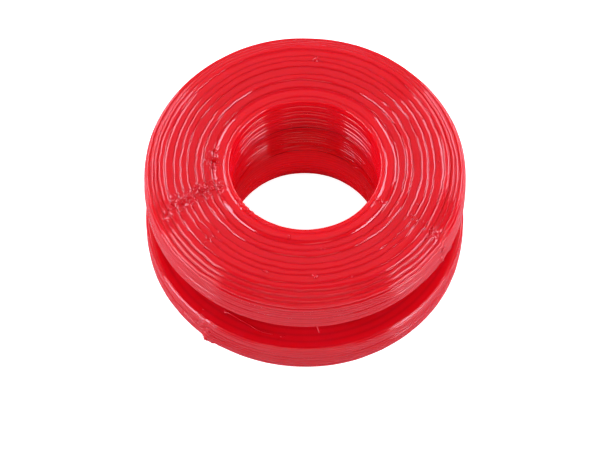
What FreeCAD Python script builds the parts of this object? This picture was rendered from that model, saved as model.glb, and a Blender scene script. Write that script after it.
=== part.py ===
"""Empty thread spool in printed plastic: two domed flanges joined by a barrel.

The spool stands on its lower flange. Z is its axis and the origin is the middle of the
base, so the whole spool lies above Z = 0. Lengths are millimetres.

Each flange has an annular slot in its inner face, and the barrel has a tongue on each
end that seats in that slot. All three share one bore, and their joints show in it as two
rings level with the groove. The upper flange has a low raised lip around the bore.
"""

import FreeCAD, Part
import math
import os
import Sketcher

PARTS_FOLDER = "parts"

# The driving dimensions: alias, value, meaning.
DRIVING = [
    ("outer_diameter", 20.5, "across either flange"),
    ("bore_diameter", 9.65, "straight bore through all three pieces"),
    ("barrel_diameter", 14.0, "floor of the thread groove"),
    ("lower_thickness", 3.4, "lower flange, base to inner face"),
    ("upper_thickness", 3.15, "upper flange, inner face to the top of the lip"),
    ("groove_height", 2.75, "between the flanges' inner faces"),
    ("mouth_radius", 0.8, "rounding from the outer face into the bore"),
    ("lip_diameter", 11.45, "outside of the raised lip round the upper mouth"),
    ("lip_rise", 0.15, "lip above the rest of the upper face"),
    ("shoulder_run", 2.4, "how far in from the rim the outer face starts to fall"),
    ("shoulder_radius", 4.1, "shallow arc at the start of the fall"),
    ("rim_radius", 0.6, "tight arc that runs into the rim's wall"),
    ("edge_break", 0.12, "rounding of the rim at the groove"),
    ("tongue_diameter", 11.8, "middle of the tongue's wall"),
    ("tongue_width", 0.9, "radial thickness of the tongue"),
    ("tongue_length", 1.2, "how far the tongue stands into the flange"),
    ("slot_clearance", 0.05, "between tongue and slot on each side"),
    ("slot_relief", 0.15, "empty depth left past the tongue's end"),
]

START, END = 1, 2
X_AXIS, ORIGIN = -1, (-1, 1)


def driving_sheet(doc):
    """The spreadsheet that every size comes from."""
    sheet = doc.addObject("Spreadsheet::Sheet", "sizes")
    for row, (alias, value, meaning) in enumerate(DRIVING, start=1):
        sheet.set(f"A{row}", meaning)
        sheet.set(f"B{row}", str(value))
        sheet.setAlias(f"B{row}", alias)
    doc.recompute()
    return sheet


def origin_feature(body, role):
    """The body's own origin plane or axis with that role."""
    for feature in body.Origin.OriginFeatures:
        if feature.Role == role:
            return feature
    raise ValueError(f"{body.Label} has no {role}")


def new_sketch(body, name, plane):
    """An empty sketch on one of the body's origin planes."""
    sketch = body.newObject("Sketcher::SketchObject", name)
    sketch.AttachmentSupport = (origin_feature(body, plane), [""])
    sketch.MapMode = "FlatFace"
    return sketch


def dimension(sketch, name, expression, *constraint):
    """Adds a named dimension to the sketch and binds it to the sheet."""
    index = sketch.addConstraint(Sketcher.Constraint(*constraint))
    sketch.renameConstraint(index, name)
    sketch.setExpression(f"Constraints.{name}", expression)


def line(x0, y0, x1, y1):
    """A straight edge in a sketch."""
    return Part.LineSegment(FreeCAD.Vector(x0, y0, 0), FreeCAD.Vector(x1, y1, 0))


def arc(x, y, radius, start, end):
    """An arc in a sketch, anticlockwise between two angles in radians."""
    circle = Part.Circle(FreeCAD.Vector(x, y, 0), FreeCAD.Vector(0, 0, 1), radius)
    return Part.ArcOfCircle(circle, start, end)


def shoulder_fall(run, big, small):
    """How far the two shoulder arcs drop, and the angle at which they meet."""
    across = run - small
    down = math.sqrt((big - small) ** 2 - across**2)
    return big - down, math.atan2(down, across)


def flange_section(body, sheet, thickness, rise):
    """Half of a flange's cross-section, with its inner face on the sketch's X axis.

    `thickness` is the sheet's alias for the flange's thickness. `rise` is the alias for
    the lip's height, or None for a flange with no lip.
    """
    bore = sheet.bore_diameter / 2
    rim = sheet.outer_diameter / 2
    mouth = sheet.mouth_radius
    top = getattr(sheet, thickness)
    face = top - (getattr(sheet, rise) if rise else 0)
    shoulder = rim - sheet.shoulder_run
    big, small = sheet.shoulder_radius, sheet.rim_radius
    drop, meet = shoulder_fall(sheet.shoulder_run, big, small)
    lip = sheet.lip_diameter / 2
    quarter = math.pi / 2

    sketch = new_sketch(body, body.Label + "_section", "XZ_Plane")
    wall = sketch.addGeometry(line(bore, 0, bore, top - mouth))
    mouth_arc = sketch.addGeometry(arc(bore + mouth, top - mouth, mouth, quarter, 2 * quarter))
    fall = sketch.addGeometry(arc(shoulder, face - big, big, meet, quarter))
    edge = sketch.addGeometry(arc(rim - small, face - drop, small, 0, meet))
    rim_wall = sketch.addGeometry(line(rim, face - drop, rim, 0))
    inner_face = sketch.addGeometry(line(rim, 0, bore, 0))
    joins = [
        ("Tangent", wall, END, mouth_arc, END),
        ("Tangent", fall, START, edge, END),
        ("Tangent", edge, START, rim_wall, START),
        ("Coincident", rim_wall, END, inner_face, START),
        ("Coincident", inner_face, END, wall, START),
        ("Vertical", wall),
        ("Vertical", rim_wall),
        ("PointOnObject", wall, START, X_AXIS),
        ("PointOnObject", rim_wall, END, X_AXIS),
    ]
    if rise:
        lip_top = sketch.addGeometry(line(bore + mouth, top, lip, top))
        lip_side = sketch.addGeometry(line(lip, top, lip, face))
        flat = sketch.addGeometry(line(lip, face, shoulder, face))
        joins += [
            ("Tangent", mouth_arc, START, lip_top, START),
            ("Coincident", lip_top, END, lip_side, START),
            ("Coincident", lip_side, END, flat, START),
            ("Horizontal", lip_top),
            ("Vertical", lip_side),
            ("Tangent", flat, END, fall, END),
            ("Horizontal", flat),
        ]
    else:
        lip_top = flat = sketch.addGeometry(line(bore + mouth, top, shoulder, top))
        joins += [
            ("Tangent", mouth_arc, START, flat, START),
            ("Tangent", flat, END, fall, END),
            ("Horizontal", flat),
        ]
    for join in joins:
        sketch.addConstraint(Sketcher.Constraint(*join))

    dimension(sketch, "bore", "sizes.bore_diameter / 2",
              "DistanceX", *ORIGIN, wall, START, bore)
    dimension(sketch, "rim", "sizes.outer_diameter / 2",
              "DistanceX", *ORIGIN, rim_wall, END, rim)
    dimension(sketch, "top", "sizes." + thickness,
              "DistanceY", *ORIGIN, lip_top, START, top)
    dimension(sketch, "run", "sizes.shoulder_run",
              "DistanceX", flat, END, rim_wall, END, sheet.shoulder_run)
    dimension(sketch, "mouth", "sizes.mouth_radius", "Radius", mouth_arc, mouth)
    dimension(sketch, "shoulder", "sizes.shoulder_radius", "Radius", fall, big)
    dimension(sketch, "edge", "sizes.rim_radius", "Radius", edge, small)
    if rise:
        dimension(sketch, "lip", "sizes.lip_diameter / 2",
                  "DistanceX", *ORIGIN, lip_side, START, lip)
        dimension(sketch, "rise", "sizes." + rise,
                  "DistanceY", lip_side, END, lip_side, START, top - face)
    return sketch


def ring_sketch(body, name, inner, outer, inner_size, outer_size, height=None):
    """Two concentric circles on XY, lifted to a height: a washer's outline."""
    sketch = new_sketch(body, name, "XY_Plane")
    if height is not None:
        sketch.setExpression("AttachmentOffset.Base.z", height)
    middle, up = FreeCAD.Vector(0, 0, 0), FreeCAD.Vector(0, 0, 1)
    for label, expression, size in [("inner", inner, inner_size), ("outer", outer, outer_size)]:
        circle = sketch.addGeometry(Part.Circle(middle, up, size / 2))
        sketch.addConstraint(Sketcher.Constraint("Coincident", circle, 3, *ORIGIN))
        dimension(sketch, label, expression, "Diameter", circle, size)
    return sketch


def build_flange(doc, sheet, label, thickness, rise=None):
    """A flange with its inner face at Z = 0 and its domed face up."""
    body = doc.addObject("PartDesign::Body", label)
    body.Label = label

    turned = body.newObject("PartDesign::Revolution", label + "_turned")
    turned.Profile = flange_section(body, sheet, thickness, rise)
    turned.ReferenceAxis = (turned.Profile[0], ["V_Axis"])
    turned.Angle = 360
    doc.recompute()

    slot = body.newObject("PartDesign::Pocket", label + "_slot")
    slot.Profile = ring_sketch(
        body,
        label + "_slot_outline",
        "sizes.tongue_diameter - sizes.tongue_width - 2 * sizes.slot_clearance",
        "sizes.tongue_diameter + sizes.tongue_width + 2 * sizes.slot_clearance",
        sheet.tongue_diameter - sheet.tongue_width - 2 * sheet.slot_clearance,
        sheet.tongue_diameter + sheet.tongue_width + 2 * sheet.slot_clearance,
    )
    slot.Reversed = True
    slot.setExpression("Length", "sizes.tongue_length + sizes.slot_relief")
    doc.recompute()

    rounded = body.newObject("PartDesign::Fillet", label + "_edge")
    rounded.Base = (slot, [rim_edge_name(slot.Shape, sheet.outer_diameter / 2)])
    rounded.setExpression("Radius", "sizes.edge_break")
    body.Tip = rounded
    doc.recompute()
    return body


def rim_edge_name(shape, radius):
    """The name of the circle where the rim's wall meets the inner face."""
    for number, edge in enumerate(shape.Edges, start=1):
        is_circle = isinstance(edge.Curve, Part.Circle)
        if is_circle and abs(edge.Curve.Radius - radius) < 1e-6:
            if abs(edge.Curve.Center.z) < 1e-6:
                return f"Edge{number}"
    raise ValueError("the rim has no edge at the inner face")


def build_barrel(doc, sheet):
    """The barrel, its lower face at Z = 0, with a tongue standing out of each end."""
    body = doc.addObject("PartDesign::Body", "barrel")
    body.Label = "barrel"

    tube = body.newObject("PartDesign::Pad", "barrel_tube")
    tube.Profile = ring_sketch(
        body,
        "barrel_outline",
        "sizes.bore_diameter",
        "sizes.barrel_diameter",
        sheet.bore_diameter,
        sheet.barrel_diameter,
    )
    tube.setExpression("Length", "sizes.groove_height")
    doc.recompute()

    for name, height, downwards in [
        ("upper_tongue", "sizes.groove_height", False),
        ("lower_tongue", None, True),
    ]:
        tongue = body.newObject("PartDesign::Pad", name)
        tongue.Profile = ring_sketch(
            body,
            name + "_outline",
            "sizes.tongue_diameter - sizes.tongue_width",
            "sizes.tongue_diameter + sizes.tongue_width",
            sheet.tongue_diameter - sheet.tongue_width,
            sheet.tongue_diameter + sheet.tongue_width,
            height,
        )
        tongue.Reversed = downwards
        tongue.setExpression("Length", "sizes.tongue_length")
        body.Tip = tongue
        doc.recompute()
    return body


def place(body, height, turned_over=False):
    """Sets the body on the spool's axis at a height from the sheet."""
    if turned_over:
        half_turn = FreeCAD.Rotation(FreeCAD.Vector(1, 0, 0), 180)
        body.Placement = FreeCAD.Placement(FreeCAD.Vector(0, 0, 0), half_turn)
    body.setExpression("Placement.Base.z", height)


def check(doc, bodies):
    """Stops before anything is written if an object failed or a piece isn't sound."""
    for thing in doc.Objects:
        if "Invalid" in thing.State or "Error" in thing.State:
            raise RuntimeError(f"{thing.Name} failed: {thing.State}")
        if thing.TypeId == "Sketcher::SketchObject" and not thing.FullyConstrained:
            raise RuntimeError(f"{thing.Name} isn't fully constrained")
    for body in bodies:
        shape = body.Shape
        if shape.isNull() or not shape.isValid() or len(shape.Solids) != 1:
            raise RuntimeError(f"{body.Label} isn't one sound solid")


def main():
    """Builds the spool and writes one STEP file for each piece."""
    doc = FreeCAD.newDocument("thread_spool")
    sheet = driving_sheet(doc)

    lower_flange = build_flange(doc, sheet, "lower_flange", "lower_thickness")
    barrel = build_barrel(doc, sheet)
    upper_flange = build_flange(doc, sheet, "upper_flange", "upper_thickness", "lip_rise")
    place(lower_flange, "sizes.lower_thickness", turned_over=True)
    place(barrel, "sizes.lower_thickness")
    place(upper_flange, "sizes.lower_thickness + sizes.groove_height")
    doc.recompute()

    bodies = [lower_flange, barrel, upper_flange]
    check(doc, bodies)
    os.makedirs(PARTS_FOLDER, exist_ok=True)
    for body in bodies:
        body.Shape.exportStep(os.path.join(PARTS_FOLDER, body.Label + ".step"))
        box = body.Shape.BoundBox
        print(f"{body.Label}: {body.Shape.Volume:.2f} mm3, Z {box.ZMin:.3f} to {box.ZMax:.3f}")


main()
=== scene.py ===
"""An empty printed-plastic thread spool: two domed flanges on a short barrel.

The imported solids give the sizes. Each solid is replaced by a skin that shows how the
piece was printed: rings of plastic laid side by side on the faces, layers stacked up the
walls, rough patches where the rings start and stop, and stray crumbs and hairs of plastic.
Lengths inside the classes are millimetres and become metres when a mesh is finished. Only
the studio's lengths are metres.
"""

import logging
import math
from dataclasses import dataclass, field
from enum import Enum

import bpy
import numpy as np
from mathutils import Matrix, Vector
from mathutils.kdtree import KDTree


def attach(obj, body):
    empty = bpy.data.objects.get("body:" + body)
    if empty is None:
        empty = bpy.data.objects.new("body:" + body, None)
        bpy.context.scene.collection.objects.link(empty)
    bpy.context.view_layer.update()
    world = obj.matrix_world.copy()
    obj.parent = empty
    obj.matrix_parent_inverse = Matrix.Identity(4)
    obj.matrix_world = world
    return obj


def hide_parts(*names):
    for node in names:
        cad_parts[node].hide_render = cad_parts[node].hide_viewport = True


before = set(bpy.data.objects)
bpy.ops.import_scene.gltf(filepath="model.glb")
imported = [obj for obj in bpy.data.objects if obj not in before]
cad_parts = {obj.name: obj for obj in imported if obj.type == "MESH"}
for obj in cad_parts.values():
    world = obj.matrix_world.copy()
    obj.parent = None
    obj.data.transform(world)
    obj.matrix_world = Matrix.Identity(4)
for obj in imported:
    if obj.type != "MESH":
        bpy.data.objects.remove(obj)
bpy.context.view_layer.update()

LOG = logging.getLogger("thread_spool")
MM = 0.001
TURN = 2 * math.pi
BODY = "root"

CREST = "crest"
# Crest value that marks a joint's notch for the darkest painted shade.
NOTCH_MARK = -1.5

LAYER = 0.28
END_GAP = 0.03
LINE = 0.27
DOME_LINE = 0.36
GROOVE_LINE = 0.45
FACE_LINE = 0.48
JOINT = 0.07
JOINT_DEPTH = 0.20
JOINT_GAP = 0.012
JOINT_FLARE = 0.02
JOINT_SLANT = 0.9 * JOINT

ROUNDED = (0.0, 0.33, 0.66)
FINE = (0.0, 0.10, 0.36, 0.64, 0.90)
BROAD = (0.0, 0.05, 0.15, 0.32, 0.5, 0.68, 0.85, 0.95)
PLAIN = (0.0, 0.5)


# --------------------------------------------------------------------------- helpers


def deselect_all() -> None:
    """Leaves nothing selected and nothing active."""
    if bpy.context.object and bpy.context.object.mode != "OBJECT":
        bpy.ops.object.mode_set(mode="OBJECT")
    bpy.ops.object.select_all(action="DESELECT")
    bpy.context.view_layer.objects.active = None


def read_points(piece: bpy.types.Object) -> np.ndarray:
    """The mesh's points.

    Args:
        piece: the piece whose mesh is read.

    Returns:
        The points, N by 3.
    """
    points = np.empty(len(piece.data.vertices) * 3)
    piece.data.vertices.foreach_get("co", points)
    return points.reshape(-1, 3)


def write_points(piece: bpy.types.Object, points: np.ndarray) -> None:
    """Moves the mesh's points."""
    piece.data.vertices.foreach_set("co", points.astype(np.float32).ravel())
    piece.data.update()


def smooth_step(x: np.ndarray, low: float, high: float) -> np.ndarray:
    """0 below low, 1 above high, and an S-curve between."""
    t = np.clip((x - low) / (high - low), 0, 1)
    return t * t * (3 - 2 * t)


def angle_gap(a: np.ndarray, b: float) -> np.ndarray:
    """The signed angle from b to a, in radians, the short way round."""
    return (a - b + math.pi) % TURN - math.pi


def hill(x: np.ndarray) -> np.ndarray:
    """1 at 0, falling smoothly to almost nothing at 2."""
    return np.exp(-1.5 * x * x)


class RingNoise:
    """Smooth seeded noise over a ring: periodic round the axis, and drifting across it."""

    def __init__(self, seed: int, waves: tuple[int, int], across: float, count: int = 14):
        """Draws the waves.

        Args:
            seed: seeds the draw, so that every run gives the same ring.
            waves: the fewest and most waves round the ring.
            across: the length in millimetres over which the noise changes across the ring.
            count: how many waves are added up.
        """
        draw = np.random.default_rng(seed)
        self.turns = draw.integers(waves[0], waves[1] + 1, count)
        self.phase = draw.uniform(0, TURN, count)
        self.drift = draw.normal(0, TURN / across / 2, count)
        self.gain = draw.uniform(0.5, 1.0, count)
        self.gain /= math.sqrt((self.gain**2).sum() / 2)

    def __call__(self, angle: np.ndarray, run: np.ndarray) -> np.ndarray:
        """The noise at some points of the ring.

        Args:
            angle: the points' angles, in radians.
            run: the points' places along the section, in millimetres.

        Returns:
            The noise, of about unit spread.
        """
        total = np.zeros_like(angle)
        for turns, phase, drift, gain in zip(self.turns, self.phase, self.drift, self.gain):
            total += gain * np.cos(turns * angle + phase + drift * run)
        return total


# --------------------------------------------------------------------------- section


@dataclass
class Section:
    """A ring's closed cross-section, drawn as a run of printed beads.

    The outline is drawn anticlockwise in the plane of radius and height, so its outer
    side is on the right of the pen.
    """

    points: list[tuple[float, float]] = field(default_factory=list)
    runs: list[float] = field(default_factory=list)
    normals: list[tuple[float, float]] = field(default_factory=list)
    crest: list[float] = field(default_factory=list)
    length: float = 0.0
    seed: int = 0

    def __post_init__(self) -> None:
        """Seeds the draws that make no two beads alike."""
        self.draw = np.random.default_rng(self.seed)

    def beads(self, path: np.ndarray, stops: np.ndarray, arch: float, shape: tuple[float, ...],
              unlike: float = 0.0, proud: float = 0.0, flat: float = 0.0) -> None:
        """Lays round-backed beads along a path.

        Args:
            path: the path's points, radius and height, in drawing order.
            stops: where each bead starts along the path, as lengths, and where the last ends.
            arch: how steeply a bead's back leaves its edges, in degrees. 0 follows the path.
            shape: the shares of a bead's width at which it gets a point.
            unlike: how much the beads' arches differ, as a share of the arch.
            proud: how far some beads stand out of their neighbours, in millimetres.
            flat: 0 for a round back. Above 2, a flat back that turns down at its edges.
        """
        steps = np.hypot(*np.diff(path, axis=0).T)
        along = np.concatenate([[0], np.cumsum(steps)])
        for start, end in zip(stops[:-1], stops[1:]):
            width = end - start
            steep = math.radians(arch * (1 + unlike * self.draw.uniform(-1, 1)))
            stand = proud * self.draw.uniform(-1, 1)
            for share in shape:
                at = start + width * share
                here = self.on_path(path, along, at)
                ahead = self.on_path(path, along, at + 0.02)
                behind = self.on_path(path, along, at - 0.02)
                dr, dz = ahead[0] - behind[0], ahead[1] - behind[1]
                size = math.hypot(dr, dz) or 1.0
                normal = (dz / size, -dr / size)
                lift = self.back(share, width, steep, flat) + stand * math.sin(math.pi * share)
                self.points.append((here[0] + normal[0] * lift, here[1] + normal[1] * lift))
                self.runs.append(self.length + at)
                self.normals.append(normal)
                self.crest.append(math.sin(math.pi * share))
        self.length += along[-1]

    def joint(self, *corners: tuple[float, float]) -> None:
        """Adds the corners of a joint's notch, which are marked for the darkest painted shade.

        Args:
            corners: the corners' radii and heights, in drawing order.
        """
        for corner in corners:
            self.points.append(corner)
            self.runs.append(self.length)
            self.normals.append((-1.0, 0.0))
            self.crest.append(NOTCH_MARK)

    @staticmethod
    def on_path(path: np.ndarray, along: np.ndarray, at: float) -> tuple[float, float]:
        """The radius and height at a length along a path."""
        return float(np.interp(at, along, path[:, 0])), float(np.interp(at, along, path[:, 1]))

    @staticmethod
    def back(share: float, width: float, arch: float, flat: float) -> float:
        """How far a bead's back stands out.

        Args:
            share: the place across the bead, from 0 to 1.
            width: the bead's width.
            arch: how steeply the back leaves its edges, in radians.
            flat: 0 for a round back. Above 2, a flat back that turns down at its edges.

        Returns:
            The height over the path.
        """
        if arch <= 0:
            return 0.0
        if flat > 0:
            return math.tan(arch) * width / (2 * flat) * (1 - abs(2 * share - 1) ** flat)
        radius = width / (2 * math.sin(arch))
        across = (2 * share - 1) * width / 2
        return math.sqrt(radius**2 - across**2) - radius * math.cos(arch)


def straight(r0: float, z0: float, r1: float, z1: float) -> np.ndarray:
    """A straight path in the plane of radius and height."""
    return np.array([(r0, z0), (r1, z1)])


def bend(r: float, z: float, across: float, up: float, start: float, end: float) -> np.ndarray:
    """Part of an ellipse as a path.

    Args:
        r: the centre's radius.
        z: the centre's height.
        across: half of the ellipse's width.
        up: half of the ellipse's height.
        start: the first angle, in degrees.
        end: the last angle, in degrees.

    Returns:
        The path's points.
    """
    angles = np.radians(np.linspace(start, end, 90))
    return np.column_stack([r + across * np.cos(angles), z + up * np.sin(angles)])


def stops_at_heights(path: np.ndarray, heights: np.ndarray) -> np.ndarray:
    """Where a path crosses the layers' heights.

    Args:
        path: the path's points. It only climbs or only falls.
        heights: the heights. Those next to the path's ends are left out.

    Returns:
        The crossings, as lengths along the path, ends included.
    """
    steps = np.hypot(*np.diff(path, axis=0).T)
    along = np.concatenate([[0], np.cumsum(steps)])
    z = path[:, 1]
    low, high = min(z[0], z[-1]), max(z[0], z[-1])
    inside = sorted(h for h in heights if low + END_GAP < h < high - END_GAP)
    order = np.argsort(z)
    found = sorted(float(np.interp(h, z[order], along[order])) for h in inside)
    return np.array([0.0, *found, along[-1]])


def even_stops(path: np.ndarray, count: int) -> np.ndarray:
    """Where a path is cut into that many beads of one width."""
    return np.linspace(0, np.hypot(*np.diff(path, axis=0).T).sum(), count + 1)


def pitched_stops(path: np.ndarray, pitch: float, wander: float, seed: int) -> np.ndarray:
    """Where a path is cut into beads of about one width, no two quite alike.

    Args:
        path: the path's points, radius and height.
        pitch: the beads' usual width, in millimetres.
        wander: how far a cut strays, as a share of the width.
        seed: seeds the straying.

    Returns:
        The cuts, as lengths along the path, ends included.
    """
    length = np.hypot(*np.diff(path, axis=0).T).sum()
    count = max(1, round(length / pitch))
    stops = np.linspace(0, length, count + 1)
    draw = np.random.default_rng(seed)
    stops[1:-1] += draw.uniform(-wander, wander, count - 1) * length / count
    return stops


# --------------------------------------------------------------------------- finishes


@dataclass(frozen=True)
class PlasticFinish:
    """Glossy red printed plastic, a little translucent, with painted shade where beads meet and darker
    painted shade in joints' notches.

    The crest attribute is 1 on a bead's back, 0 at its edges and below 0 in a joint's notch.
    """

    name: str = "red_printed_plastic"
    deep: tuple[float, float, float] = (0.665, 0.0034, 0.0115)
    pale: tuple[float, float, float] = (0.725, 0.0072, 0.0175)
    cloud_scale: float = 260.0
    # Painted shade in the valleys between beads: the share of colour kept at a bead's edge, and the crest
    # where it ends.
    valley_shade: float = 0.84
    valley_end: float = 0.6
    # Painted shade in a joint's notch: the share of colour kept, and the crest span it fades over.
    notch: float = 0.25
    notch_shade_span: tuple[float, float] = (-1.2, -0.1)
    roughness: tuple[float, float] = (0.04, 0.09)
    wear_scale: float = 900.0
    wear_span: tuple[float, float] = (0.3, 0.7)
    grain: float = 0.08
    grain_scale: float = 3200.0
    grain_depth: float = 0.05
    ior: float = 1.54
    glow: float = 0.80
    glow_reach: tuple[float, float, float] = (1.0, 0.06, 0.05)
    glow_depth: float = 3.0

    def material(self) -> bpy.types.Material:
        """Builds the node tree.

        Returns:
            The material.
        """
        made = bpy.data.materials.new(self.name)
        made.use_nodes = True
        tree = made.node_tree
        shader = tree.nodes["Principled BSDF"]
        shader.inputs["IOR"].default_value = self.ior
        shader.inputs["Subsurface Weight"].default_value = self.glow
        shader.inputs["Subsurface Radius"].default_value = self.glow_reach
        shader.inputs["Subsurface Scale"].default_value = self.glow_depth * MM
        place = tree.nodes.new("ShaderNodeTexCoord").outputs["Object"]

        wear = self.noise(tree, place, self.wear_scale, 4.0)
        tree.links.new(self.ramp(tree, wear, self.wear_span, self.roughness), shader.inputs["Roughness"])
        grain = self.noise(tree, place, self.grain_scale, 3.0)
        bump = tree.nodes.new("ShaderNodeBump")
        bump.inputs["Strength"].default_value = self.grain
        bump.inputs["Distance"].default_value = self.grain_depth * MM
        tree.links.new(grain, bump.inputs["Height"])
        tree.links.new(bump.outputs["Normal"], shader.inputs["Normal"])

        tint = tree.nodes.new("ShaderNodeMix")
        tint.data_type = "RGBA"
        tint.inputs["A"].default_value = (*self.deep, 1)
        tint.inputs["B"].default_value = (*self.pale, 1)
        tree.links.new(self.noise(tree, place, self.cloud_scale, 3.0), tint.inputs["Factor"])
        # The tint is multiplied by the painted shade of bead valleys and joints' notches.
        shade = tree.nodes.new("ShaderNodeMix")
        shade.data_type = "RGBA"
        shade.blend_type = "MULTIPLY"
        shade.inputs["Factor"].default_value = 1.0
        tree.links.new(tint.outputs["Result"], shade.inputs["A"])
        tree.links.new(self.painted_shade(tree), shade.inputs["B"])
        tree.links.new(shade.outputs["Result"], shader.inputs["Base Color"])
        return made

    def painted_shade(self, tree: bpy.types.NodeTree) -> bpy.types.NodeSocket:
        """Painted shade from the crest attribute, as the share of colour kept: less where beads meet, least
        in a notch.

        Args:
            tree: the material's node tree.

        Returns:
            The output that holds the share.
        """
        crest = tree.nodes.new("ShaderNodeAttribute")
        crest.attribute_name = CREST
        valley_shade = self.ramp(tree, crest.outputs["Fac"], (0.0, self.valley_end), (self.valley_shade, 1.0))
        notch = self.ramp(tree, crest.outputs["Fac"], self.notch_shade_span, (self.notch, 1.0))
        both = tree.nodes.new("ShaderNodeMath")
        both.operation = "MULTIPLY"
        tree.links.new(valley_shade, both.inputs[0])
        tree.links.new(notch, both.inputs[1])
        return both.outputs["Value"]

    @staticmethod
    def noise(tree: bpy.types.NodeTree, place: bpy.types.NodeSocket, scale: float,
              detail: float) -> bpy.types.NodeSocket:
        """Adds a noise texture.

        Args:
            tree: the material's node tree.
            place: the output that holds the coordinates.
            scale: how many waves a metre holds.
            detail: how many finer layers it has.

        Returns:
            The output that holds the noise.
        """
        made = tree.nodes.new("ShaderNodeTexNoise")
        made.inputs["Scale"].default_value = scale
        made.inputs["Detail"].default_value = detail
        tree.links.new(place, made.inputs["Vector"])
        return made.outputs["Fac"]

    @staticmethod
    def ramp(tree: bpy.types.NodeTree, value: bpy.types.NodeSocket, span: tuple[float, float],
             result: tuple[float, float]) -> bpy.types.NodeSocket:
        """Adds a node that turns one span of numbers into another.

        Args:
            tree: the material's node tree.
            value: the output that holds the number.
            span: the number's lowest and highest value.
            result: what those two become.

        Returns:
            The output that holds the new number.
        """
        made = tree.nodes.new("ShaderNodeMapRange")
        made.inputs["From Min"].default_value, made.inputs["From Max"].default_value = span
        made.inputs["To Min"].default_value, made.inputs["To Max"].default_value = result
        tree.links.new(value, made.inputs["Value"])
        return made.outputs["Result"]


@dataclass(frozen=True)
class TableFinish:
    """A plain white table: lit from within where it is seen, matt where it lights the spool."""

    name: str
    shine: float
    grey: float = 0.75
    roughness: float = 0.9

    def material(self) -> bpy.types.Material:
        """Builds the node tree.

        Returns:
            The material.
        """
        made = bpy.data.materials.new(self.name)
        made.use_nodes = True
        shader = made.node_tree.nodes["Principled BSDF"]
        shader.inputs["Base Color"].default_value = (self.grey, self.grey, self.grey, 1)
        shader.inputs["Roughness"].default_value = self.roughness
        shader.inputs["Specular IOR Level"].default_value = 0.0
        shader.inputs["Emission Color"].default_value = (1, 1, 1, 1)
        shader.inputs["Emission Strength"].default_value = self.shine
        return made


# --------------------------------------------------------------------------- scars


@dataclass(frozen=True)
class Scar:
    """A rough patch, where the nozzle started, stopped or dragged.

    It lies at an angle, a radius and a height, reaches so wide round the ring and so far
    across it, and moves the surface by a depth out of it and by a jumble along it.
    """

    angle: float
    radius: float
    height: float
    wide: float
    across: float
    depth: float
    jumble: float
    seed: int

    def shift(self, angle: np.ndarray, flat: np.ndarray, run: np.ndarray,
              normal: np.ndarray) -> np.ndarray:
        """How far each point moves.

        Args:
            angle: the points' angles, in radians.
            flat: the points' radii and heights.
            run: the points' places along the section.
            normal: the surface's normals, in radius and height.

        Returns:
            The moves, in radius and height.
        """
        around = angle_gap(angle, math.radians(self.angle)) * self.radius
        away = np.hypot(flat[:, 0] - self.radius, flat[:, 1] - self.height)
        share = hill(around / self.wide) * hill(away / self.across)
        share[share < 0.02] = 0
        out = self.depth * RingNoise(self.seed, (50, 150), 0.40, 24)(angle, run)
        along = self.jumble * RingNoise(self.seed + 1, (40, 110), 0.55, 24)(angle, run)
        tangent = np.column_stack([-normal[:, 1], normal[:, 0]])
        return normal * (out * share)[:, None] + tangent * (along * share)[:, None]


# --------------------------------------------------------------------------- rings


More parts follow.
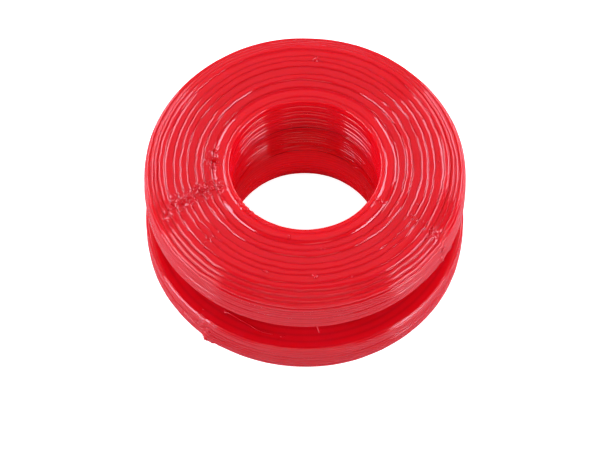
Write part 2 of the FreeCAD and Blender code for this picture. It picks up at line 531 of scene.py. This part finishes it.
@dataclass
class PrintedRing:
    """A ring turned from a section of beads, with the unevenness of hot plastic."""

    name: str
    node: str
    seed: int
    segments: int = 360
    merge: float = 0.0004
    sway: float = 0.030
    swell: float = 0.009
    scars: tuple[Scar, ...] = ()
    fine_spans: tuple[tuple[int, int], ...] = ()
    piece: bpy.types.Object | None = None

    def section(self) -> Section:
        """The ring's closed cross-section, which each ring draws."""
        raise NotImplementedError

    def turn(self) -> None:
        """Turns the section round the axis, from a circle whose points are laid on it.

        An eighth is spun and doubled three times, so that every eighth is alike.
        """
        section = self.section()
        deselect_all()
        bpy.ops.mesh.primitive_circle_add(vertices=len(section.points), radius=1.0)
        self.piece = bpy.context.object
        self.piece.name = self.name
        self.piece.data.name = self.name
        outline = np.array([(r, 0.0, z) for r, z in section.points])
        write_points(self.piece, outline)
        bpy.ops.object.mode_set(mode="EDIT")
        bpy.ops.mesh.select_all(action="SELECT")
        bpy.ops.mesh.spin(steps=self.segments // 8, angle=TURN / 8, center=(0, 0, 0), axis=(0, 0, 1))
        for share in (8, 4, 2):
            bpy.ops.mesh.select_all(action="SELECT")
            bpy.ops.mesh.duplicate()
            bpy.ops.transform.rotate(value=TURN / share, orient_axis="Z", center_override=(0, 0, 0))
        bpy.ops.mesh.select_all(action="SELECT")
        bpy.ops.mesh.remove_doubles(threshold=self.merge)
        bpy.ops.mesh.normals_make_consistent(inside=False)
        bpy.ops.object.mode_set(mode="OBJECT")
        self.refine()
        self.loosen(section)
        points = read_points(self.piece)
        write_points(self.piece, points * MM)
        bpy.ops.object.shade_smooth()

    def refine(self) -> None:
        """Halves the steps round the ring in the spans that hold fine scars."""
        step = TURN / self.segments
        bpy.context.tool_settings.mesh_select_mode = (False, True, False)
        for start, end in self.fine_spans:
            mesh = self.piece.data
            points = read_points(self.piece)
            ends = np.empty(len(mesh.edges) * 2, dtype=np.int32)
            mesh.edges.foreach_get("vertices", ends)
            angle = np.arctan2(points[:, 1], points[:, 0])[ends.reshape(-1, 2)]
            middle = math.radians((start + end) / 2)
            half = math.radians((end - start) / 2) + step / 4
            inside = (np.abs(angle_gap(angle, middle)) < half).all(axis=1)
            around = np.abs(angle_gap(angle[:, 0], 0) - angle_gap(angle[:, 1], 0)) > step / 4
            deselect_all()
            self.piece.select_set(True)
            bpy.context.view_layer.objects.active = self.piece
            bpy.ops.object.mode_set(mode="EDIT")
            bpy.ops.mesh.select_all(action="DESELECT")
            bpy.ops.object.mode_set(mode="OBJECT")
            mesh.edges.foreach_set("select", inside & around)
            bpy.ops.object.mode_set(mode="EDIT")
            bpy.ops.mesh.subdivide(number_cuts=1, smoothness=0)
            bpy.ops.object.mode_set(mode="OBJECT")

    def loosen(self, section: Section) -> None:
        """Lets the beads sway along the surface and swell out of it, and notes their crests.

        Args:
            section: the section that the ring was turned from.
        """
        points = read_points(self.piece)
        r = np.hypot(points[:, 0], points[:, 1])
        angle = np.arctan2(points[:, 1], points[:, 0])
        outline = np.array(section.points)
        tree = KDTree(len(outline))
        for place, (radius, height) in enumerate(outline):
            tree.insert((radius, height, 0), place)
        tree.balance()
        index = np.array([tree.find((a, b, 0))[1] for a, b in zip(r, points[:, 2])])
        run = np.array(section.runs)[index]
        normal = np.array(section.normals)[index]
        tangent = np.column_stack([-normal[:, 1], normal[:, 0]])
        crest = np.array(section.crest)[index]
        long_sway = RingNoise(self.seed, (2, 9), 0.9)(angle, run)
        short_sway = RingNoise(self.seed + 1, (12, 40), 0.45)(angle, run)
        along = self.sway * (0.6 * long_sway + 0.4 * short_sway)
        slow_swell = RingNoise(self.seed + 2, (1, 9), 0.35)(angle, run)
        quick_swell = RingNoise(self.seed + 3, (10, 45), 0.5)(angle, run)
        out = self.swell * (0.75 * slow_swell + 0.25 * quick_swell) * (0.4 + 0.6 * crest)
        flat = np.column_stack([r, points[:, 2]])
        shift = tangent * along[:, None] * self.sway_share(flat)[:, None] + normal * out[:, None]
        shift += self.marks(angle, flat, normal)
        for scar in self.scars:
            shift += scar.shift(angle, flat, run, normal)
        moved = flat + shift
        # The crest attribute drives the painted shade in bead valleys and joints' notches.
        marked = self.piece.data.attributes.new(CREST, "FLOAT", "POINT")
        marked.data.foreach_set("value", crest.astype(np.float32))
        points[:, 0] = moved[:, 0] * np.cos(angle)
        points[:, 1] = moved[:, 0] * np.sin(angle)
        points[:, 2] = moved[:, 1]
        write_points(self.piece, points)

    def sway_share(self, flat: np.ndarray) -> np.ndarray:
        """How much of the sway each point gets, from its radius and height."""
        return np.ones(len(flat))

    def marks(self, angle: np.ndarray, flat: np.ndarray, normal: np.ndarray) -> np.ndarray:
        """The moves, in radius and height, that make the ring's own seams and bulges."""
        return np.zeros_like(flat)

    def dress(self, material: bpy.types.Material) -> None:
        """Gives the ring its finish and ties it to the frame.

        Args:
            material: the finish.
        """
        self.piece.data.materials.append(material)
        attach(self.piece, BODY)
        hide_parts(self.node)
        LOG.info("%s: %d faces", self.name, len(self.piece.data.polygons))


@dataclass
class UpperFlange(PrintedRing):
    """The upper flange, with its raised lip."""

    name: str = "upper_flange_skin"
    node: str = "upper_flange"
    seed: int = 11
    # Each scar: angle, radius, height, wide, across, depth, jumble, seed.
    scars: tuple[Scar, ...] = (
        Scar(-163.8, 6.70, 9.15, 0.60, 0.75, 0.078, 0.085, 101),
        Scar(-159.5, 8.20, 9.15, 0.60, 0.80, 0.072, 0.085, 103),
        Scar(-157.0, 9.35, 8.95, 0.40, 0.45, 0.045, 0.060, 105),
        Scar(176.0, 5.85, 9.20, 0.75, 0.45, 0.078, 0.055, 107),
        Scar(-162.0, 5.60, 9.24, 0.50, 0.35, 0.051, 0.036, 109),
        Scar(-137.2, 8.30, 9.18, 0.25, 0.60, 0.030, 0.048, 111),
        Scar(-138.0, 4.95, 9.20, 1.10, 0.28, 0.018, 0.024, 113),
        Scar(-30.5, 5.35, 9.26, 0.22, 0.40, 0.045, 0.048, 115),
        Scar(-30.0, 8.10, 9.18, 0.35, 0.80, 0.021, 0.036, 117),
        Scar(-31.5, 9.60, 8.85, 0.32, 0.60, 0.045, 0.048, 119),
        Scar(-32.5, 10.20, 7.60, 0.30, 1.10, 0.045, 0.036, 121),
    )
    fine_spans: tuple[tuple[int, int], ...] = ((-184, -130), (-38, -26))
    rim: float = 10.22
    bore: float = 4.81
    low: float = 6.15
    shoulder: tuple[float, float] = (7.88, 9.22)
    dome_run: float = 2.34
    dome_drop: float = 1.08
    terrace_end: float = 52.0
    lip: float = 5.72
    lip_foot: float = 9.13
    lip_top: float = 9.29
    ridge: float = 5.15
    ridge_top: float = 9.21
    mouth_run: float = 0.16
    mouth_drop: float = 1.0
    slip: float = 0.16
    seam: float = -160.0
    rim_seam: float = -32.0
    rim_ridge: float = 0.035
    edge: float = 0.12

    def section(self) -> Section:
        """The closed cross-section, from the inner corner of the underside.

        Returns:
            The section.
        """
        made = Section(seed=self.seed)
        edge, rim = self.edge, self.rim
        underside = straight(self.bore + JOINT_DEPTH, self.low, rim - edge, self.low)
        made.beads(underside, even_stops(underside, 10), 0, (0.0,))
        corner = bend(rim - edge, self.low + edge, edge, edge, -90, 0)
        made.beads(corner, even_stops(corner, 1), 0, ROUNDED)
        layers = np.arange(self.low + LAYER, self.lip_top, LAYER)
        spring = self.shoulder[1] - self.dome_drop
        wall = straight(rim, self.low + edge, rim, spring)
        made.beads(wall, stops_at_heights(wall, layers), 72, FINE, unlike=0.25, proud=0.018)
        dome = bend(self.shoulder[0], spring, self.dome_run, self.dome_drop, 0, self.terrace_end)
        made.beads(dome, pitched_stops(dome, DOME_LINE, 0.16, self.seed), 62, BROAD,
                   unlike=0.35, proud=0.022)
        top = bend(self.shoulder[0], spring, self.dome_run, self.dome_drop, self.terrace_end, 90)
        face = np.vstack([top, (self.lip + 0.22, self.lip_foot)])
        made.beads(face, pitched_stops(face, FACE_LINE, 0.12, self.seed + 1), 48, BROAD,
                   unlike=0.35, proud=0.012, flat=3.5)
        slope = straight(self.lip + 0.20, self.lip_foot - 0.03, self.lip + 0.02, self.lip_top - 0.06)
        made.beads(slope, even_stops(slope, 1), 10, FINE)
        crown = straight(*slope[-1], self.ridge, self.lip_top - 0.10)
        made.beads(crown, even_stops(crown, 1), 30, BROAD)
        ridge = straight(*crown[-1], self.bore + self.mouth_run, self.ridge_top)
        made.beads(ridge, even_stops(ridge, 1), 34, FINE)
        mouth = bend(self.bore + self.mouth_run, self.ridge_top - self.mouth_drop,
                     self.mouth_run, self.mouth_drop, 90, 180)
        made.beads(mouth, stops_at_heights(mouth, layers), 50, FINE, unlike=0.3)
        inside = straight(*mouth[-1], self.bore, self.low + JOINT)
        made.beads(inside, stops_at_heights(inside, layers), 72, FINE, unlike=0.35, proud=0.024)
        return made

    def sway_share(self, flat: np.ndarray) -> np.ndarray:
        """All of the sway on the face, and a little of it on the walls and the lip."""
        return 0.2 + 0.8 * smooth_step(flat[:, 0], 5.9, 6.4) * smooth_step(flat[:, 1], 8.2, 8.8)

    def marks(self, angle: np.ndarray, flat: np.ndarray, normal: np.ndarray) -> np.ndarray:
        """The rings' slip where they start and stop, and the ridge down the rim.

        Args:
            angle: the points' angles, in radians.
            flat: the points' radii and heights.
            normal: the surface's normals, in radius and height.

        Returns:
            The moves, in radius and height.
        """
        tangent = np.column_stack([-normal[:, 1], normal[:, 0]])
        gap = angle_gap(angle, math.radians(self.seam))
        start = smooth_step(gap, -0.03, 0.03) - 0.5 - gap / TURN
        on_face = smooth_step(flat[:, 0], 6.0, 6.6) * smooth_step(-flat[:, 0], -9.8, -8.9)
        on_face *= smooth_step(flat[:, 1], 8.6, 8.9)
        moved = tangent * (self.slip * start * on_face)[:, None]
        gap = angle_gap(angle, math.radians(self.rim_seam))
        start = smooth_step(gap, -0.02, 0.02) - 0.5 - gap / TURN
        on_rim = smooth_step(flat[:, 0], 9.0, 9.6) * smooth_step(flat[:, 1], 6.3, 6.5)
        moved += tangent * (self.slip * start * on_rim * smooth_step(flat[:, 1], 7.8, 8.4))[:, None]
        moved += normal * (self.rim_ridge * hill(gap * self.rim / 0.22) * on_rim)[:, None]
        return moved


@dataclass
class LowerFlange(PrintedRing):
    """The lower flange, which the spool stands on."""

    name: str = "lower_flange_skin"
    node: str = "lower_flange"
    seed: int = 31
    scars: tuple[Scar, ...] = (
        Scar(-128.5, 10.25, 2.30, 0.60, 1.00, 0.072, 0.085, 131),
        Scar(-126.0, 10.20, 1.10, 0.50, 0.90, 0.060, 0.060, 133),
        Scar(-32.0, 10.25, 2.20, 0.22, 1.20, 0.027, 0.036, 135),
    )
    fine_spans: tuple[tuple[int, int], ...] = ((-136, -116),)
    rim: float = 10.24
    bore: float = 4.83
    face: float = 3.40
    dome_run: float = 2.84
    dome_drop: float = 1.33
    mouth_run: float = 0.49
    mouth_drop: float = 0.77
    base: float = 0.09
    edge: float = 0.07
    bulge: float = 0.24
    bulge_at: float = -128.3
    bulge_fade: float = 3.6

    def section(self) -> Section:
        """The closed cross-section, from the inner edge of the base.

        Returns:
            The section.
        """
        made = Section(seed=self.seed)
        edge, rim = self.edge, self.rim
        base = straight(self.bore + self.mouth_run, self.base, rim - self.dome_run, self.base)
        made.beads(base, pitched_stops(base, 2 * LINE, 0.05, self.seed), 18, FINE, unlike=0.3)
        dome = bend(rim - self.dome_run, self.dome_drop, self.dome_run,
                    self.dome_drop - self.base, -90, 0)
        made.beads(dome, pitched_stops(dome, LINE, 0.12, self.seed + 1), 40, FINE,
                   unlike=0.4, proud=0.010)
        layers = np.arange(self.face - LAYER, 0, -LAYER)[::-1]
        wall = straight(rim, self.dome_drop, rim, self.face - edge)
        made.beads(wall, stops_at_heights(wall, layers), 66, FINE, unlike=0.25, proud=0.014)
        corner = bend(rim - edge, self.face - edge, edge, edge, 0, 90)
        made.beads(corner, even_stops(corner, 1), 0, ROUNDED)
        inner = straight(rim - edge, self.face, self.bore + JOINT_DEPTH, self.face)
        made.beads(inner, pitched_stops(inner, GROOVE_LINE, 0.05, self.seed + 2), 10, PLAIN, unlike=0.5)
        made.joint((self.bore + JOINT_DEPTH, self.face), (self.bore + JOINT_FLARE, self.face - JOINT_SLANT))
        inside = straight(self.bore, self.face - JOINT, self.bore, self.mouth_drop)
        made.beads(inside, stops_at_heights(inside, layers), 24, FINE, unlike=0.6, proud=0.014)
        mouth = bend(self.bore + self.mouth_run, self.mouth_drop, self.mouth_run,
                     self.mouth_drop - self.base, 180, 270)
        made.beads(mouth, stops_at_heights(mouth, layers), 14, FINE, unlike=0.3)
        return made

    def sway_share(self, flat: np.ndarray) -> np.ndarray:
        """A little of the sway on the walls, and all of it underneath."""
        return 0.12 + 0.88 * smooth_step(-flat[:, 1], -0.8, -0.3)

    def marks(self, angle: np.ndarray, flat: np.ndarray, normal: np.ndarray) -> np.ndarray:
        """The bulge where the rim's layers start: a sharp step that dies away slowly.

        Args:
            angle: the points' angles, in radians.
            flat: the points' radii and heights.
            normal: the surface's normals, in radius and height.

        Returns:
            The moves, in radius and height.
        """
        gap = np.degrees(angle_gap(angle, math.radians(self.bulge_at)))
        step = smooth_step(gap, -0.9, 0.2) * np.exp(-np.maximum(gap, 0) / self.bulge_fade)
        on_rim = smooth_step(flat[:, 0], 9.3, 10.0) * smooth_step(-flat[:, 1], -2.6, -1.6)
        return normal * (self.bulge * step * on_rim)[:, None]


@dataclass
class Barrel(PrintedRing):
    """The barrel between the flanges: the groove's floor and the middle of the bore."""

    name: str = "barrel_skin"
    node: str = "barrel"
    seed: int = 51
    floor: float = 7.0
    bore: float = 4.83
    low: float = 3.40
    high: float = 6.15

    def section(self) -> Section:
        """The closed cross-section, from the inner edge of the lower end.

        Returns:
            The section.
        """
        made = Section(seed=self.seed)
        low, high = self.low + JOINT_GAP, self.high - JOINT_GAP
        base = straight(self.bore + JOINT_DEPTH, low, self.floor, low)
        made.beads(base, even_stops(base, 1), 0, PLAIN)
        layers = np.arange(self.low + LAYER, self.high, LAYER)
        wall = straight(self.floor, low, self.floor, high)
        made.beads(wall, stops_at_heights(wall, layers), 50, FINE, unlike=0.2, proud=0.012)
        end = straight(self.floor, high, self.bore + JOINT_DEPTH, high)
        made.beads(end, even_stops(end, 1), 0, PLAIN)
        made.joint((self.bore + JOINT_DEPTH, high), (self.bore + JOINT_FLARE, high - JOINT_SLANT))
        inside = straight(self.bore, high - JOINT, self.bore, low + JOINT)
        made.beads(inside, stops_at_heights(inside, layers), 72, FINE, unlike=0.35, proud=0.024)
        return made

    def sway_share(self, flat: np.ndarray) -> np.ndarray:
        """A little of the sway, because layers lie level."""
        return np.full(len(flat), 0.2)


# --------------------------------------------------------------------------- strays


@dataclass(frozen=True)
class Spill:
    """Where a handful of crumbs lies: a middle, how far it spreads, how many, and their size."""

    angle: float
    radius: float
    height: float
    around: float
    across: float
    count: int
    size: float = 0.055


@dataclass
class Crumbs:
    """Beads and ends of string that cling to a ring, joined into one piece."""

    name: str
    seed: int
    spills: tuple[Spill, ...]
    dents: float = 0.22
    rim_from: float = 9.9
    sizes: tuple[float, float] = (0.55, 1.25)
    stretches: tuple[float, ...] = (1.0, 1.8, 3.2)
    stray: float = 0.9
    squash: float = 0.85
    piece: bpy.types.Object | None = None

    def build(self, ring: bpy.types.Object) -> None:
        """Models one crumb and lays stretched copies of it on the ring.

        Args:
            ring: the finished ring that the crumbs cling to.
        """
        draw = np.random.default_rng(self.seed)
        deselect_all()
        bpy.ops.mesh.primitive_ico_sphere_add(subdivisions=2, radius=1.0)
        model = bpy.context.object
        dented = read_points(model)
        dented *= (1 + self.dents * draw.uniform(-1, 1, len(dented)))[:, None]
        write_points(model, dented)
        bpy.ops.object.shade_smooth()
        crumbs = []
        for spill in self.spills:
            for _ in range(spill.count):
                angle = math.radians(spill.angle) + draw.normal(0, spill.around) / spill.radius
                radius = spill.radius + draw.normal(0, spill.across)
                on_rim = spill.radius > self.rim_from
                height = spill.height + draw.normal(0, spill.across if on_rim else 0.0)
                near = Vector((radius * math.cos(angle), radius * math.sin(angle), height)) * MM
                found, spot, normal, _ = ring.closest_point_on_mesh(near)
                if not found:
                    continue
                size = spill.size * draw.uniform(*self.sizes)
                long = size * draw.choice(self.stretches)
                turn = Vector((-math.sin(angle), math.cos(angle), 0))
                lean = Matrix.Rotation(draw.normal(0, self.stray), 3, normal) @ turn
                side = normal.cross(lean).normalized()
                thick = normal * size * self.squash
                axes = Matrix((lean.normalized() * long, side * size, thick)).transposed()
                copy = model.copy()
                copy.data = model.data.copy()
                bpy.context.scene.collection.objects.link(copy)
                copy.data.transform(Matrix.Translation(spot) @ (axes * MM).to_4x4())
                crumbs.append(copy)
        bpy.data.objects.remove(model)
        deselect_all()
        for crumb in crumbs:
            crumb.select_set(True)
        bpy.context.view_layer.objects.active = crumbs[0]
        bpy.ops.object.join()
        self.piece = bpy.context.object
        self.piece.name = self.name
        self.piece.data.name = self.name

    def dress(self, material: bpy.types.Material) -> None:
        """Gives the crumbs their finish and ties them to the frame.

        Args:
            material: the finish.
        """
        self.piece.data.materials.append(material)
        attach(self.piece, BODY)
        LOG.info("%s: %d faces", self.name, len(self.piece.data.polygons))


@dataclass
class Hair:
    """A thin string of plastic that the nozzle pulled out and left."""

    name: str
    route: tuple[tuple[float, float, float], ...]
    thick: float = 0.07
    blob: float = 1.0
    taper: float = 0.5
    merge: float = 0.0005
    piece: bpy.types.Object | None = None

    def build(self) -> None:
        """Draws the hair as a round string along its route of radius, angle and height."""
        deselect_all()
        bpy.ops.curve.primitive_nurbs_path_add(location=(0, 0, 0))
        drawn = bpy.context.object
        data = drawn.data
        data.splines.clear()
        spline = data.splines.new("NURBS")
        spline.points.add(len(self.route) - 1)
        spline.order_u = 3
        spline.use_endpoint_u = True
        spline.resolution_u = 8
        for place, (radius, angle, height) in enumerate(self.route):
            around = math.radians(angle)
            spot = Vector((radius * math.cos(around), radius * math.sin(around), height)) * MM
            spline.points[place].co = (*spot, 1)
            thinner = 1 - self.taper * place / len(self.route)
            spline.points[place].radius = self.blob if place == 0 else thinner
        data.bevel_depth = self.thick / 2 * MM
        data.bevel_resolution = 2
        data.use_fill_caps = True
        bpy.ops.object.convert(target="MESH")
        self.piece = bpy.context.object
        self.piece.name = self.name
        self.piece.data.name = self.name
        bpy.ops.object.mode_set(mode="EDIT")
        bpy.ops.mesh.select_all(action="SELECT")
        bpy.ops.mesh.remove_doubles(threshold=self.merge * MM)
        bpy.ops.mesh.normals_make_consistent(inside=False)
        bpy.ops.object.mode_set(mode="OBJECT")
        bpy.ops.object.shade_smooth()

    def dress(self, material: bpy.types.Material) -> None:
        """Gives the hair its finish and ties it to the frame.

        Args:
            material: the finish.
        """
        self.piece.data.materials.clear()
        self.piece.data.materials.append(material)
        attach(self.piece, BODY)
        LOG.info("%s: %d faces", self.name, len(self.piece.data.polygons))


def upper_crumbs() -> Crumbs:
    """The crumbs on the upper flange: on its seams, round its mouth, and strewn about."""
    return Crumbs("upper_flange_crumbs", 201, (
        Spill(-163.8, 6.75, 9.2, 0.30, 0.38, 48), Spill(-159.5, 8.25, 9.2, 0.34, 0.45, 44),
        Spill(-157.0, 9.35, 8.95, 0.22, 0.20, 10, 0.050), Spill(177.0, 5.85, 9.2, 0.42, 0.24, 40, 0.048),
        Spill(-164.0, 5.60, 9.25, 0.28, 0.20, 18, 0.048), Spill(-137.2, 8.30, 9.2, 0.10, 0.34, 12, 0.048),
        Spill(-137.0, 5.00, 9.28, 0.60, 0.04, 5, 0.045), Spill(-118.0, 5.02, 9.28, 0.35, 0.03, 4, 0.045),
        Spill(-30.5, 5.38, 9.26, 0.06, 0.10, 4, 0.060), Spill(-30.0, 8.20, 9.2, 0.14, 0.50, 8, 0.055),
        Spill(-31.5, 9.45, 8.9, 0.14, 0.28, 8, 0.065), Spill(-32.5, 10.20, 7.5, 0.12, 0.60, 12, 0.060),
        Spill(-22.6, 7.80, 9.2, 0.05, 0.15, 2, 0.055), Spill(-176.5, 9.65, 8.85, 0.12, 0.12, 5, 0.055),
        Spill(-99.7, 5.54, 9.29, 0.02, 0.03, 1, 0.085), Spill(-106.1, 8.35, 9.18, 0.15, 0.02, 3, 0.075),
        Spill(-80.6, 7.34, 9.2, 0.02, 0.02, 1, 0.090), Spill(-86.1, 8.35, 9.2, 0.10, 0.10, 2, 0.075),
        Spill(-70.2, 8.87, 9.1, 0.03, 0.03, 1, 0.090), Spill(25.1, 8.29, 9.2, 0.05, 0.04, 1, 0.080),
        Spill(2.1, 8.54, 9.15, 0.05, 0.04, 1, 0.080), Spill(84.9, 8.05, 9.2, 0.12, 0.02, 2, 0.085),
    ))


def lower_crumbs() -> Crumbs:
    """The crumbs on the lower flange: on its bulge, and in the groove."""
    return Crumbs("lower_flange_crumbs", 203, (
        Spill(-128.6, 10.25, 2.4, 0.30, 0.38, 14, 0.060), Spill(-127.0, 10.3, 1.2, 0.22, 0.30, 8, 0.060),
        Spill(-99.0, 9.45, 3.4, 0.20, 0.05, 4, 0.050), Spill(-16.0, 9.70, 3.4, 0.12, 0.10, 4, 0.065),
    ))


def hairs() -> tuple[Hair, ...]:
    """The loose hairs: one along the groove, one off the upper rim, and one curled up.

    Returns:
        The hairs.
    """
    radius, angle, height = 6.46, -79.8, 9.24
    reach, swing, climb = 0.13, 1.2, 0.02
    curl = tuple((radius + reach * math.cos(t), angle + swing * math.sin(t), height + climb * t)
                 for t in np.linspace(0, 5.2, 7))
    return (
        Hair("groove_hair", ((9.12, -123.6, 3.48), (9.10, -122.4, 3.60), (9.14, -119.0, 3.58),
                             (9.16, -115.0, 3.50), (9.25, -111.0, 3.45), (9.45, -107.0, 3.43),
                             (9.40, -102.0, 3.42)), 0.11, 2.4),
        Hair("rim_hair", ((10.10, -85.6, 6.20), (10.20, -85.3, 5.95), (10.22, -84.9, 5.62),
                          (10.16, -84.6, 5.32), (10.05, -84.9, 5.18), (9.98, -85.3, 5.26)), 0.10, 1.2),
        Hair("curled_hair", curl, 0.045),
    )


# --------------------------------------------------------------------------- studio


class Place(Enum):
    """Where a soft light stands, with the spool's front towards the camera."""

    LEFT = "left"
    RIGHT = "right"
    FAR_LEFT = "far_left"
    FAR_RIGHT = "far_right"
    FRONT = "front"
    BACK = "back"
    OVERHEAD = "overhead"
    UNDER = "under"


WHITE = (1.0, 1.0, 1.0)
SPOOL_MIDDLE = Vector((0, 0, 0.005))


@dataclass
class SoftLight:
    """A flat soft light that faces the spool, with its angles in degrees and lengths in metres."""

    place: Place
    azimuth: float
    elevation: float
    width: float
    height: float
    shine: float
    tint: tuple[float, float, float] = (1.0, 0.90, 1.10)
    distance: float = 0.35
    mirrored: bool = True

    def build(self) -> None:
        """Adds the light."""
        lamp = bpy.data.lights.new("soft_" + self.place.value, "AREA")
        lamp.shape = "RECTANGLE"
        lamp.size, lamp.size_y = self.width, self.height
        lamp.color = self.tint
        lamp.energy = self.shine * math.pi * self.width * self.height
        made = bpy.data.objects.new(lamp.name, lamp)
        bpy.context.scene.collection.objects.link(made)
        around, up = math.radians(self.azimuth), math.radians(self.elevation)
        away = Vector((math.cos(around) * math.cos(up), math.sin(around) * math.cos(up), math.sin(up)))
        made.location = away * self.distance + SPOOL_MIDDLE
        made.rotation_euler = away.to_track_quat("Z", "Y").to_euler()
        made.visible_camera = False
        made.visible_glossy = self.mirrored


@dataclass
class Studio:
    """The table, the lights and the camera, with angles in degrees and lengths in metres."""

    target: tuple[float, float, float] = (0.0000133, 0.0, 0.0013)
    elevation: float = 58.60
    distance: float = 0.2475
    lens: float = 222.7
    roll: float = 0.29
    table_size: float = 3.0
    sheet_gap: float = 0.00002
    room_light: float = 0.10

    def camera(self) -> None:
        """Adds the camera, looking down at the spool from its front."""
        data = bpy.data.cameras.new("camera")
        data.lens = self.lens
        data.sensor_width = 36.0
        data.clip_start, data.clip_end = 0.01, 10.0
        made = bpy.data.objects.new("camera", data)
        bpy.context.scene.collection.objects.link(made)
        up = math.radians(self.elevation)
        away = Vector((0, -math.cos(up), math.sin(up)))
        turn = away.to_track_quat("Z", "Y").to_matrix().to_4x4()
        roll = Matrix.Rotation(math.radians(self.roll), 4, "Z")
        made.matrix_world = Matrix.Translation(Vector(self.target) + away * self.distance) @ turn @ roll
        bpy.context.scene.camera = made

    def table(self) -> None:
        """Adds the table top: one sheet that is seen, and under it one that bounces light."""
        seen = self.table_top("table", 1.0)
        bounce = self.table_top("table_bounce", 0.0)
        seen.visible_diffuse = seen.visible_glossy = False
        seen.visible_transmission = seen.visible_shadow = False
        bounce.visible_camera = False
        bounce.data.transform(Matrix.Translation((0, 0, -self.sheet_gap)))

    def table_top(self, name: str, shine: float) -> bpy.types.Object:
        """One sheet of the table.

        Args:
            name: the sheet's name.
            shine: how brightly it is lit from within.

        Returns:
            The sheet.
        """
        deselect_all()
        bpy.ops.mesh.primitive_plane_add(size=self.table_size, location=(0, 0, 0))
        sheet = bpy.context.object
        sheet.name = name
        sheet.data.materials.append(TableFinish(name + "_white", shine).material())
        return sheet

    def lights(self) -> None:
        """Adds the soft lights and the even light of the room."""
        for light in (
            SoftLight(Place.LEFT, 198, 27, 0.234, 0.115, 9.5),
            SoftLight(Place.RIGHT, -18, 27, 0.234, 0.115, 9.5),
            SoftLight(Place.FAR_LEFT, 137, 28, 0.25, 0.11, 6.8),
            SoftLight(Place.FAR_RIGHT, 43, 28, 0.25, 0.11, 6.8),
            SoftLight(Place.FRONT, 270, 30, 0.32, 0.12, 1.0, WHITE),
            SoftLight(Place.BACK, 90, 58, 0.50, 0.35, 0.25, WHITE),
            SoftLight(Place.OVERHEAD, 90, 88, 0.30, 0.08, 0.3, WHITE),
            SoftLight(Place.UNDER, 270, -90, 0.0066, 0.0066, 2.3, WHITE, distance=0.0049, mirrored=False),
        ):
            light.build()
        world = bpy.data.worlds.new("room")
        world.use_nodes = True
        room = world.node_tree.nodes["Background"]
        room.inputs["Color"].default_value = (1, 1, 1, 1)
        room.inputs["Strength"].default_value = self.room_light
        bpy.context.scene.world = world
        bpy.context.scene.view_settings.view_transform = "Standard"

    def build(self) -> None:
        """Sets the whole stage."""
        self.camera()
        self.table()
        self.lights()


def main() -> None:
    """Builds the stage and the spool."""
    logging.basicConfig(level=logging.INFO, format="%(name)s: %(message)s")
    deselect_all()
    Studio().build()
    plastic = PlasticFinish().material()
    lower, barrel, upper = LowerFlange(), Barrel(), UpperFlange()
    for ring in (lower, barrel, upper):
        ring.turn()
        ring.dress(plastic)
    # The strays get no painted valley shade.
    strays = PlasticFinish("red_plastic_strays", glow=0.0, valley_shade=1.0).material()
    for crumbs, ring in ((lower_crumbs(), lower), (upper_crumbs(), upper)):
        crumbs.build(ring.piece)
        crumbs.dress(strays)
    for hair in hairs():
        hair.build()
        hair.dress(strays)


if __name__ == "__main__":
    main()
